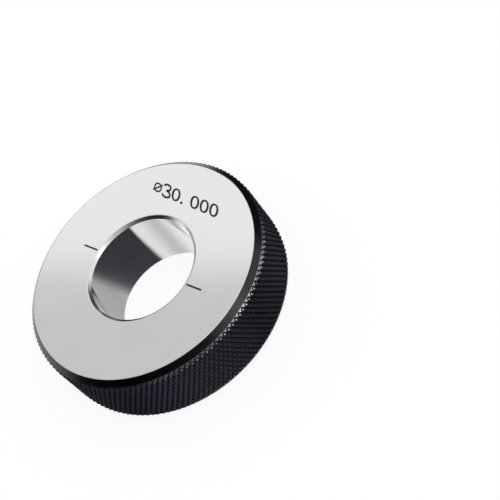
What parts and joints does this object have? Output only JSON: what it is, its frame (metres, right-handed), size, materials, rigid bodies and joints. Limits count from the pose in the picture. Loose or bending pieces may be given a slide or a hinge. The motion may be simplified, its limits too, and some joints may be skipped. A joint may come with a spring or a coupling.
{
  "type": "plain ring gauge",
  "caption": "Plain ring gauge: a steel ring with a lapped bore, chamfered ends and a diamond-knurled rim, slid over a shaft or a measuring head to check or set its size.",
  "frame": {"origin": "centre of the lower flat face, on the axis of the bore", "axes": "+Z along the axis of the bore, from the lower face to the upper face; +X along the two scribed lines on the upper face"},
  "size_m": [0.068, 0.068, 0.019],
  "materials": {
    "hardened_steel": "lapped faces and bore, blackened knurled rim and rim chamfers"
  },
  "bodies": {
    "root": {"gauge_ring": "hardened_steel"}
  },
  "joints": []
}
